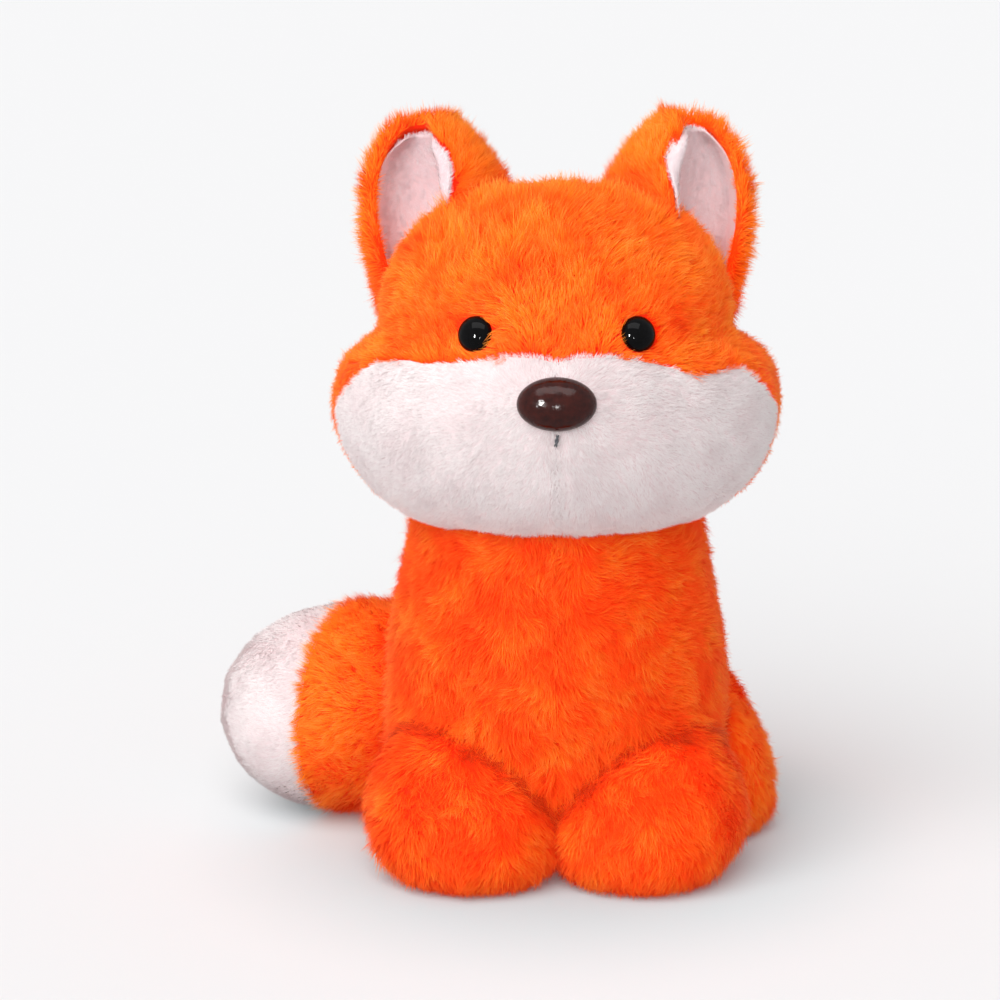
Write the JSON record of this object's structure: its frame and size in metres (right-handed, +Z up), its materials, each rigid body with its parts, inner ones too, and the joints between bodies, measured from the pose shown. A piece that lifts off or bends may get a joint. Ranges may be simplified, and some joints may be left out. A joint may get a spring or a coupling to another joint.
{
  "type": "plush fox",
  "caption": "Sitting plush fox with an orange coat, a white muzzle and tail tip, cupped ears, glossy eyes and nose, and a tail curled round one side.",
  "frame": {"origin": "on the flat underside of the base panel, under the middle of the torso", "axes": "+Z up through the torso, -Y the way the fox faces, +X to the side away from the tail's curl"},
  "size_m": [0.1778, 0.1294, 0.2284],
  "materials": {
    "orange_plush": "long soft pile",
    "white_plush": "short soft pile",
    "fibre": "loose polyester fibre",
    "cotton": "plain weave",
    "black_plastic": "polished",
    "brown_plastic": "polished",
    "white_plastic": "moulded",
    "orange_thread": "spun thread",
    "dark_thread": "spun thread"
  },
  "bodies": {
    "torso": {"base_panel": "orange_plush", "chest_panel_left": "orange_plush", "chest_panel_right": "orange_plush", "back_panel_left": "orange_plush", "back_panel_right": "orange_plush", "torso_stuffing": "fibre", "pellet_bag": "cotton", "closing_stitch": "orange_thread", "front_leg_left_skin": "orange_plush", "front_leg_left_stuffing": "fibre", "front_leg_right_skin": "orange_plush", "front_leg_right_stuffing": "fibre", "hind_leg_left_skin": "orange_plush", "hind_leg_left_stuffing": "fibre", "hind_leg_right_skin": "orange_plush", "hind_leg_right_stuffing": "fibre"},
    "neck": {"neck_stuffing": "fibre"},
    "head": {"head_crown": "orange_plush", "muzzle_left": "white_plush", "muzzle_right": "white_plush", "head_back": "orange_plush", "head_stuffing": "fibre", "eye_left": "black_plastic", "eye_right": "black_plastic", "eye_left_washer": "white_plastic", "eye_right_washer": "white_plastic", "nose": "brown_plastic", "nose_washer": "white_plastic", "mouth_stitch": "dark_thread"},
    "ear_left": {"ear_left_shell": "orange_plush", "ear_left_lining": "white_plush"},
    "ear_right": {"ear_right_shell": "orange_plush", "ear_right_lining": "white_plush"},
    "tail": {"tail_sleeve": "orange_plush", "tail_tip": "white_plush", "tail_stuffing": "fibre"}
  },
  "joints": [
    {"name": "head_turn", "type": "hinge", "parent": "torso", "child": "neck", "pos_m": [0, 0.004, 0.097], "axis": [0, 0, 1], "range_deg": [-25, 25], "stiffness_Nm_per_rad": 0.3},
    {"name": "head_nod", "type": "hinge", "parent": "neck", "child": "head", "pos_m": [0, 0.004, 0.097], "axis": [1, 0, 0], "range_deg": [-10, 10], "stiffness_Nm_per_rad": 0.5},
    {"name": "tail_swing", "type": "hinge", "parent": "torso", "child": "tail", "pos_m": [-0.008, 0.048, 0.0341], "axis": [0, 0, -1], "range_deg": [0, 35], "stiffness_Nm_per_rad": 0.15},
    {"name": "ear_left_fold", "type": "hinge", "parent": "head", "child": "ear_left", "pos_m": [-0.0385, 0.003, 0.19709], "axis": [-0.7431, 0, -0.6691], "range_deg": [-8, 8], "stiffness_Nm_per_rad": 0.02},
    {"name": "ear_right_fold", "type": "hinge", "parent": "head", "child": "ear_right", "pos_m": [0.0385, 0.003, 0.19709], "axis": [0.7431, 0, -0.6691], "range_deg": [-8, 8], "stiffness_Nm_per_rad": 0.02}
  ]
}
